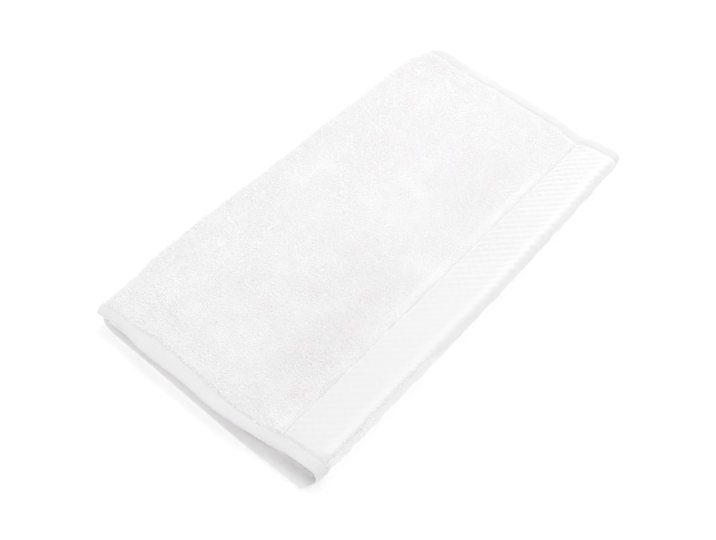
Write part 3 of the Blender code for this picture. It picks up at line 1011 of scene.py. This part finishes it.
def add_node(tree, kind, sockets, **settings):
    """A new shader node with its inputs filled."""
    node = tree.nodes.new(kind)
    for name, value in settings.items():
        setattr(node, name, value)
    fill(tree, node, sockets)
    return node


def add_math(tree, operation, first, second=0.0):
    """The output of a Math node."""
    return add_node(tree, "ShaderNodeMath", {0: first, 1: second}, operation=operation).outputs[0]


def noise(tree, size, detail):
    """Noise with bumps about size across."""
    place = add_node(tree, "ShaderNodeTexCoord", {}).outputs["Object"]
    node = add_node(tree, "ShaderNodeTexNoise", {"Vector": place, "Scale": 1.0 / size, "Detail": detail})
    return node.outputs["Fac"]


def cloth_wave(tree, turns_across, turns_along):
    """A sine wave over the flat cloth, with so many turns a metre across it and along it."""
    place = add_node(tree, "ShaderNodeUVMap", {}, uv_map="cloth").outputs["UV"]
    split = add_node(tree, "ShaderNodeSeparateXYZ", {"Vector": place})
    across = add_math(tree, "MULTIPLY", split.outputs["X"], 2.0 * math.pi * turns_across)
    along = add_math(tree, "MULTIPLY", split.outputs["Y"], 2.0 * math.pi * turns_along)
    return add_math(tree, "SINE", add_math(tree, "ADD", across, along))


def white_cotton(name):
    """The named cotton, whose tint drifts between two colours.  Returns it and its node tree."""
    one, other, roughness, _, _ = COTTONS[name]
    material, tree = new_material(name, {"Roughness": roughness, "Specular IOR Level": SPECULAR,
                                         "Sheen Weight": SHEEN, "Sheen Roughness": SHEEN_ROUGHNESS})
    ramp = add_node(tree, "ShaderNodeValToRGB", {"Fac": noise(tree, TINT_SIZE, detail=2.0)})
    stops = ((TINT_START, one), (TINT_END, other))
    for element, (position, colour) in zip(ramp.color_ramp.elements, stops):
        element.position = position
        element.color = (*colour, 1.0)
    fill(tree, tree.nodes["Principled BSDF"], {"Base Color": ramp.outputs["Color"]})
    return material, tree


def add_bump(tree, height, name):
    """The named cotton's bump, from a height between -1 and 1 or 0 and 1."""
    *_, distance, strength = COTTONS[name]
    sockets = {"Height": height, "Distance": distance, "Strength": strength}
    bump = add_node(tree, "ShaderNodeBump", sockets)
    fill(tree, tree.nodes["Principled BSDF"], {"Normal": bump.outputs["Normal"]})


def yarn(name, detail):
    """Yarn with its fibres, for loops and stitches."""
    material, tree = white_cotton(name)
    add_bump(tree, noise(tree, FIBRE_SIZE, detail), name)
    return material


def pressed_terry():
    """Terry whose loops lie flat: low humps of yarn and its fibres."""
    material, tree = white_cotton("white_pressed_terry")
    fibres = add_math(tree, "MULTIPLY", noise(tree, FIBRE_SIZE, detail=2.0), PRESSED_FIBRES)
    loops = noise(tree, PRESSED_LOOP, detail=1.0)
    add_bump(tree, add_math(tree, "ADD", loops, fibres), "white_pressed_terry")
    return material


def flat_weave(name):
    """Plain-woven cloth: yarns over and under each other."""
    material, tree = white_cotton(name)
    warp = cloth_wave(tree, 0.5 / HEM_YARN, 0.0)
    weft = cloth_wave(tree, 0.0, 0.5 / HEM_YARN)
    weave = add_math(tree, "MULTIPLY", warp, weft)
    uneven = add_math(tree, "MULTIPLY", noise(tree, PRESSED_LOOP, detail=2.0), HEM_UNEVEN)
    add_bump(tree, add_math(tree, "ADD", weave, uneven), name)
    return material


def band_weave():
    """The band's weave: fine ribs that turn by a right angle from one part of the check to the next."""
    material, tree = white_cotton("white_woven_band")
    one_way = add_math(tree, "MULTIPLY", cloth_wave(tree, 0.5 / CHECK, 0.5 / CHECK), CHECK_LEAD)
    other_way = add_math(tree, "MULTIPLY", cloth_wave(tree, -0.5 / CHECK, 0.5 / CHECK), 1.0 - CHECK_LEAD)
    side = add_math(tree, "GREATER_THAN", add_math(tree, "ADD", one_way, other_way))
    ribs_across = add_math(tree, "MULTIPLY", cloth_wave(tree, 1.0 / BAND_YARN, 0.0), side)
    other_side = add_math(tree, "SUBTRACT", 1.0, side)
    ribs_along = add_math(tree, "MULTIPLY", cloth_wave(tree, 0.0, 1.0 / BAND_YARN), other_side)
    add_bump(tree, add_math(tree, "ADD", ribs_across, ribs_along), "white_woven_band")
    return material


# ---- stage, light and camera

def floor():
    """A plain white floor."""
    bpy.ops.mesh.primitive_plane_add(size=FLOOR_SIZE, location=(0.0, 0.0, -FLOOR_DROP))
    plane = bpy.context.active_object
    plane.name = "floor"
    material, _ = new_material("white_floor", {
        "Base Color": FLOOR_COLOUR, "Emission Color": WHITE, "Emission Strength": FLOOR_GLOW,
        "Roughness": 1.0, "Specular IOR Level": 0.0})
    plane.data.materials.append(material)


def light():
    """Soft studio light: a bright world and square lamps that face the towel."""
    world = bpy.data.worlds.new("studio")
    world.use_nodes = True
    background = world.node_tree.nodes["Background"]
    fill(world.node_tree, background, {"Color": WHITE, "Strength": ROOM_LIGHT})
    bpy.context.scene.world = world
    for name, (place, size, energy) in LAMPS.items():
        lamp = bpy.data.lights.new(name, "AREA")
        lamp.shape = "SQUARE"
        lamp.size = size
        lamp.energy = energy
        lit = add_object(name, lamp)
        lit.location = place
        lit.rotation_euler = (-Vector(place)).to_track_quat("-Z", "Y").to_euler()


def camera():
    """A camera at the photograph's viewing angle."""
    azimuth, elevation, roll = (math.radians(a) for a in (VIEW_AZIMUTH, VIEW_ELEVATION, VIEW_ROLL))
    forward = Vector((math.cos(elevation) * math.cos(azimuth), math.cos(elevation) * math.sin(azimuth),
                      -math.sin(elevation)))
    level = Vector((math.sin(azimuth), -math.cos(azimuth), 0.0))
    upright = level.cross(forward)
    right = math.cos(roll) * level + math.sin(roll) * upright
    up = math.cos(roll) * upright - math.sin(roll) * level
    data = bpy.data.cameras.new("camera")
    data.sensor_fit = "HORIZONTAL"
    data.sensor_width = SENSOR
    data.lens = LENS
    data.clip_start = CLIP_START
    eye = add_object("camera", data)
    turn = Matrix((right, up, -forward)).transposed().to_4x4()
    eye.matrix_world = Matrix.Translation(VIEW_TARGET - forward * VIEW_DISTANCE) @ turn
    bpy.context.scene.camera = eye


def main():
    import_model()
    bpy.context.scene.view_settings.view_transform = "Standard"
    bpy.context.scene.cycles.diffuse_bounces = LIGHT_BOUNCES
    camera()
    light()
    floor()

    hem = flat_weave("white_hem")
    # the hem cloth painted lighter: painted light on the layers below the top one
    lower_hem = flat_weave("white_hem_painted_lighter")
    # the lines beside the band, painted darker: painted shade
    groove = flat_weave("white_groove_painted_shade")
    cloth = cloth_sheet((hem, lower_hem, pressed_terry(), groove))
    pieces = terry_pile(yarn("white_terry", detail=3.0))
    pieces.append(woven_band(band_weave()))
    pieces.append(hem_stitches(yarn("white_thread", detail=1.0)))
    for piece in [cloth] + pieces:
        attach(piece, "root")
    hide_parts("towel")


main()
